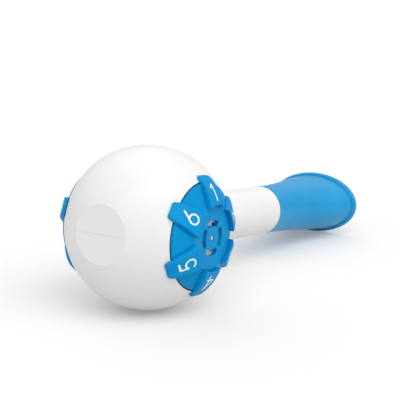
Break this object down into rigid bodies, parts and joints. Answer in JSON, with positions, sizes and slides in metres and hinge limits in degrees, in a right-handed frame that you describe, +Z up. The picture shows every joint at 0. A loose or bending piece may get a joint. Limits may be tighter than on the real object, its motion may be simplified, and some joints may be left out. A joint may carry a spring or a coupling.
{
  "type": "breathing trainer",
  "caption": "Hand-held breathing trainer: a white ball with a neck and an oval blue mouthpiece, and a numbered blue resistance dial with finger paddles on each side.",
  "frame": {"origin": "centre of the bounding box, on the surface that the trainer lies on", "axes": "+X towards the mouthpiece, -Y out of the inhale dial, +Y out of the exhale dial, +Z up; the tube points 7.19 degrees below +X, because the ball and the lip rim both touch the surface"},
  "size_m": [0.1816, 0.065, 0.066],
  "materials": {
    "shell": "satin white moulded plastic",
    "grip_blue": "satin blue moulded plastic",
    "inner_white": "plain natural white moulded plastic",
    "seal": "black nitrile rubber",
    "valve": "clear silicone",
    "spring": "stainless spring leaf"
  },
  "bodies": {
    "housing": {"upper_shell": "shell", "lower_shell": "shell", "mouthpiece_connector": "inner_white", "connector_ring": "seal", "inhale_seat": "inner_white", "inhale_pivot_pin": "inner_white", "inhale_click_spring": "spring", "inhale_skirt_seal": "seal", "inhale_seat_ring": "seal", "inhale_valve_plate": "inner_white", "inhale_valve_retainer": "inner_white", "exhale_seat": "inner_white", "exhale_pivot_pin": "inner_white", "exhale_click_spring": "spring", "exhale_skirt_seal": "seal", "exhale_seat_ring": "seal", "exhale_valve_plate": "inner_white", "exhale_valve_retainer": "inner_white"},
    "mouthpiece": {"mouthpiece": "grip_blue"},
    "inhale_dial": {"inhale_dial": "grip_blue", "inhale_baffle": "inner_white"},
    "inhale_valve": {"inhale_valve_disc": "valve"},
    "exhale_dial": {"exhale_dial": "grip_blue", "exhale_baffle": "inner_white"},
    "exhale_valve": {"exhale_valve_disc": "valve"}
  },
  "joints": [
    {"name": "inhale_dial_turn", "type": "hinge", "parent": "housing", "child": "inhale_dial", "pos_m": [-0.0587, 0, 0.033], "axis": [0, 1, 0], "continuous": true},
    {"name": "exhale_dial_turn", "type": "hinge", "parent": "housing", "child": "exhale_dial", "pos_m": [-0.0587, 0, 0.033], "axis": [0, 1, 0], "continuous": true},
    {"name": "inhale_valve_lift", "type": "slide", "parent": "housing", "child": "inhale_valve", "axis": [0, 1, 0], "range_m": [0, 0.0012], "stiffness_N_per_m": 4},
    {"name": "exhale_valve_lift", "type": "slide", "parent": "housing", "child": "exhale_valve", "axis": [0, 1, 0], "range_m": [0, 0.0012], "stiffness_N_per_m": 4},
    {"name": "mouthpiece_pull", "type": "slide", "parent": "housing", "child": "mouthpiece", "axis": [0.9921, 0, -0.1252], "range_m": [0, 0.016]}
  ]
}
